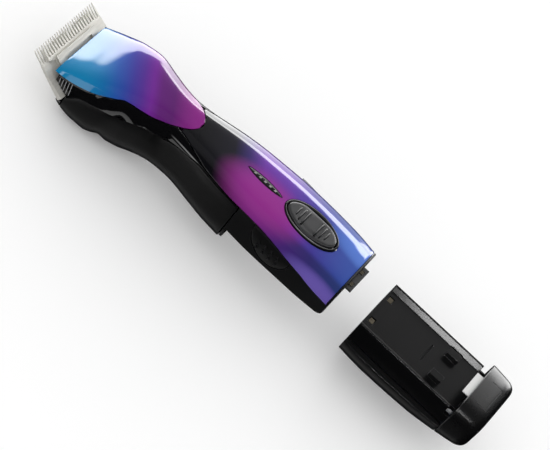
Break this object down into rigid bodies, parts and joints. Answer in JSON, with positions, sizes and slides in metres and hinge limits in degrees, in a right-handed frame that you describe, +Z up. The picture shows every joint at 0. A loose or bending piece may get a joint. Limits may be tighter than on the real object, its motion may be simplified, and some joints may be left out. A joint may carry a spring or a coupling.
{
  "type": "electric pet clipper",
  "caption": "Cordless pet clipper: toothed blade under a faceted cap, waisted grip, rocker switch, and a battery that slides into the rear.",
  "frame": {"origin": "centre of the flat rest pad under the head, on the finger rest", "axes": "+X along the handle from the blade to the battery, +Y across to the right side seen from behind, +Z up through the top cover"},
  "size_m": [0.2957, 0.05, 0.0528],
  "materials": {
    "cap_violet": "gloss",
    "cover_violet": "gloss",
    "gloss_black": "gloss",
    "soft_black": "matte",
    "satin_black": "satin",
    "switch_grey": "satin",
    "blade_steel": "satin",
    "bright_steel": "polished",
    "brass": "polished",
    "copper": "satin",
    "white_plastic": "satin",
    "nylon": "matte",
    "board_green": "satin",
    "smoke": "gloss",
    "cell_wrap": "satin",
    "magnet_grey": "matte"
  },
  "bodies": {
    "housing": {"drive_cap": "cap_violet", "handle_cover": "cover_violet", "upper_housing": "gloss_black", "lower_housing": "gloss_black", "soft_grip": "soft_black", "finger_rest": "soft_black", "battery_bay": "satin_black", "switch_bezel": "gloss_black", "switch_pivot_pin": "bright_steel", "indicator_lens": "smoke", "lamp_board": "board_green", "control_board": "board_green", "switch_key_front": "satin_black", "switch_key_rear": "satin_black", "contact_block": "satin_black", "terminal_left": "brass", "terminal_right": "brass", "hinge_bracket": "bright_steel", "hinge_pin": "bright_steel", "hinge_screw_left": "bright_steel", "hinge_screw_right": "bright_steel", "mechanism_plate": "magnet_grey", "arm_pivot_pin": "bright_steel", "gear_plate": "magnet_grey", "gear_shaft": "bright_steel", "motor_can": "bright_steel", "motor_end_bell": "satin_black", "magnet_left": "magnet_grey", "magnet_right": "magnet_grey", "motor_screw_left": "bright_steel", "motor_screw_right": "bright_steel"},
    "rotor": {"motor_rotor": "copper", "motor_shaft": "bright_steel", "pinion": "brass"},
    "gear": {"drive_gear": "nylon", "crank_pin": "bright_steel"},
    "arm": {"drive_arm": "satin_black", "drive_tip": "nylon"},
    "blade_set": {"comb_blade": "blade_steel", "blade_socket": "bright_steel", "tension_spring": "bright_steel", "blade_screw_left": "bright_steel", "blade_screw_right": "bright_steel", "hinge_tongue": "bright_steel"},
    "cutter": {"cutter_blade": "blade_steel"},
    "latch": {"blade_latch": "bright_steel"},
    "switch": {"power_switch": "switch_grey"},
    "release_left": {"release_button_left": "soft_black"},
    "release_right": {"release_button_right": "soft_black"},
    "battery": {"battery_shell": "satin_black", "battery_tray": "satin_black", "battery_end_cap": "satin_black", "cap_tongue": "white_plastic", "battery_cell_left": "cell_wrap", "battery_cell_right": "cell_wrap", "battery_board": "board_green", "battery_contact_left": "brass", "battery_contact_right": "brass", "battery_screw_front": "bright_steel", "battery_screw_rear": "bright_steel"}
  },
  "joints": [
    {"name": "motor_spin", "type": "hinge", "parent": "housing", "child": "rotor", "pos_m": [0.0625, 0, 0.02885], "axis": [1, 0, 0], "continuous": true},
    {"name": "gear_spin", "type": "hinge", "parent": "housing", "child": "gear", "pos_m": [0.0375, 0, 0.037], "axis": [1, 0, 0], "continuous": true},
    {"name": "arm_swing", "type": "hinge", "parent": "housing", "child": "arm", "pos_m": [0.0045, 0, 0.037], "axis": [0, 0, 1], "range_deg": [-3.2, 3.2]},
    {"name": "blade_hinge", "type": "hinge", "parent": "housing", "child": "blade_set", "pos_m": [-0.0107, 0, 0.0122], "axis": [0, -1, 0], "range_deg": [0, 45]},
    {"name": "cutter_slide", "type": "slide", "parent": "blade_set", "child": "cutter", "axis": [0, 1, 0], "range_m": [-0.0012, 0.0012]},
    {"name": "latch_slide", "type": "slide", "parent": "housing", "child": "latch", "axis": [-1, 0, 0], "range_m": [0, 0.002]},
    {"name": "switch_rock", "type": "hinge", "parent": "housing", "child": "switch", "pos_m": [0.1257, 0, 0.048], "axis": [0, 1, 0], "range_deg": [-4.5, 4.5]},
    {"name": "release_left_press", "type": "slide", "parent": "housing", "child": "release_left", "axis": [0, 1, 0], "range_m": [0, 0.0009]},
    {"name": "release_right_press", "type": "slide", "parent": "housing", "child": "release_right", "axis": [0, -1, 0], "range_m": [0, 0.0009]},
    {"name": "battery_slide", "type": "slide", "parent": "housing", "child": "battery", "axis": [1, 0, 0], "range_m": [-0.082, 0]}
  ],
  "couplings": [
    {"joint": "motor_spin", "follows": "gear_spin", "ratio": -3},
    {"joint": "arm_swing", "follows": "cutter_slide", "rad_per_m": -40}
  ]
}
